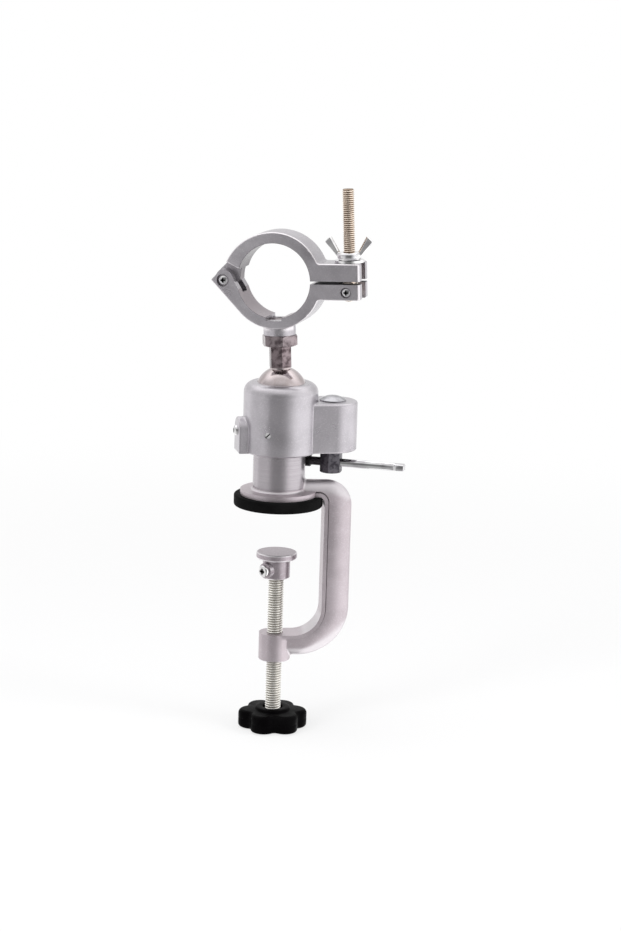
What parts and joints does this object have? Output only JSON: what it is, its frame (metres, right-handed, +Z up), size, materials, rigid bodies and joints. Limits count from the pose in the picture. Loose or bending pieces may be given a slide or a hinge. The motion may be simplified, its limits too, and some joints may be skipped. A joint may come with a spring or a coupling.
{
  "type": "ball vise",
  "caption": "Bench-clamped ball vise: C-clamp base with a screw pad, a lockable ball joint on a post, and a split ring clamp closed by a swing bolt and wing nut.",
  "frame": {"origin": "centre of the bench pad's underside, where the vise sits on the bench top", "axes": "+Z up along the post, +X toward the back of the C-frame, -Y toward the viewer of the picture"},
  "size_m": [0.0979, 0.0446, 0.2754],
  "materials": {
    "cast_body": "satin silver-grey metallic paint on a die casting",
    "black_foam_rubber": "matte, fine-grained",
    "black_knob": "satin moulded plastic",
    "nickel_plate": "bright nickel plate",
    "zinc_thread": "zinc-plated rolled thread",
    "yellow_zinc_thread": "warm zinc plate",
    "bright_zinc": "bright zinc plate",
    "chrome_plate": "chrome plate",
    "black_oxide": "black oxide",
    "black_cap": "moulded",
    "bare_steel": "plain machined"
  },
  "bodies": {
    "bench_frame": {"clamp_frame": "cast_body", "bench_pad": "black_foam_rubber"},
    "jaw": {"pressure_pad": "cast_body", "pad_screw": "bright_zinc"},
    "screw": {"spindle": "zinc_thread", "knob": "black_knob"},
    "housing": {"ball_housing": "cast_body", "boss_screw": "bright_zinc", "grub_screw": "bright_zinc", "draw_bolt": "chrome_plate"},
    "lever": {"rocker_lever": "bare_steel"},
    "washer": {"lock_washer": "bright_zinc"},
    "nut": {"coupling_nut": "black_oxide"},
    "bar": {"tommy_bar": "chrome_plate", "bar_cap": "black_cap"},
    "seat": {"ball_seat": "bare_steel"},
    "stud": {"ball_stud": "nickel_plate", "lock_nut": "nickel_plate"},
    "ring_lower": {"clamp_lower": "cast_body", "hinge_pin": "bright_zinc", "swing_pin": "bright_zinc"},
    "ring_upper": {"clamp_upper": "cast_body"},
    "eye_bolt": {"swing_bolt": "yellow_zinc_thread"},
    "eye_washer": {"swing_washer": "bright_zinc"},
    "wings": {"wing_nut": "bright_zinc"}
  },
  "joints": [
    {"name": "screw_feed", "type": "slide", "parent": "bench_frame", "child": "jaw", "axis": [0, 0, 1], "range_m": [-0.0279, 0.024]},
    {"name": "screw_turn", "type": "hinge", "parent": "jaw", "child": "screw", "pos_m": [0, 0, -0.05], "axis": [0, 0, 1], "range_deg": [-8036.2, 6913]},
    {"name": "post_turn", "type": "hinge", "parent": "bench_frame", "child": "housing", "pos_m": [0, 0, 0.0384], "axis": [0, 0, 1], "continuous": true},
    {"name": "lock_turn", "type": "hinge", "parent": "washer", "child": "nut", "pos_m": [0.0263, 0.00323, 0.0214], "axis": [0, 0, 1], "range_deg": [-115, 0]},
    {"name": "lock_lift", "type": "slide", "parent": "housing", "child": "washer", "axis": [0, 0, 1], "range_m": [-0.00033, 0]},
    {"name": "lever_rock", "type": "hinge", "parent": "housing", "child": "lever", "pos_m": [-0.01171, -0.00144, 0.04205], "axis": [0.1219, -0.9925, 0], "range_deg": [-0.6, 0]},
    {"name": "bar_slide", "type": "slide", "parent": "nut", "child": "bar", "axis": [0.9438, -0.3305, 0], "range_m": [0, 0.004]},
    {"name": "ball_swivel", "type": "hinge", "parent": "housing", "child": "seat", "pos_m": [0, 0, 0.0573], "axis": [0, 0, 1], "continuous": true},
    {"name": "ball_tilt", "type": "hinge", "parent": "seat", "child": "stud", "pos_m": [0, 0, 0.0573], "axis": [0.3665, 0.9304, 0], "range_deg": [-33, 39]},
    {"name": "head_spin", "type": "hinge", "parent": "stud", "child": "ring_lower", "pos_m": [-0.00146, 0.00058, 0.08726], "axis": [-0.0487, 0.0192, 0.9986], "continuous": true},
    {"name": "ring_open", "type": "hinge", "parent": "ring_lower", "child": "ring_upper", "pos_m": [-0.02699, 0.01063, 0.11216], "axis": [-0.3665, -0.9304, 0], "range_deg": [0, 27]},
    {"name": "bolt_swing", "type": "hinge", "parent": "ring_lower", "child": "eye_bolt", "pos_m": [0.03124, -0.01231, 0.11013], "axis": [-0.3665, -0.9304, 0], "range_deg": [0, 13.43]},
    {"name": "nut_travel", "type": "slide", "parent": "eye_bolt", "child": "eye_washer", "axis": [-0.0487, 0.0192, 0.9986], "range_m": [0, 0.03148]},
    {"name": "wing_nut_turn", "type": "hinge", "parent": "eye_washer", "child": "wings", "pos_m": [0.0304, -0.01198, 0.12741], "axis": [-0.0487, 0.0192, 0.9986], "range_deg": [0, 11299.4]}
  ],
  "couplings": [
    {"joint": "screw_turn", "follows": "screw_feed", "rad_per_m": 5026.5},
    {"joint": "lock_lift", "follows": "lock_turn", "m_per_rad": 0.00015915},
    {"joint": "lever_rock", "follows": "lock_turn", "ratio": 0.0041555},
    {"joint": "bolt_swing", "follows": "ring_open", "ratio": 0.49},
    {"joint": "nut_travel", "follows": "ring_open", "m_per_rad": 0.0666},
    {"joint": "wing_nut_turn", "follows": "ring_open", "ratio": 418.46}
  ]
}
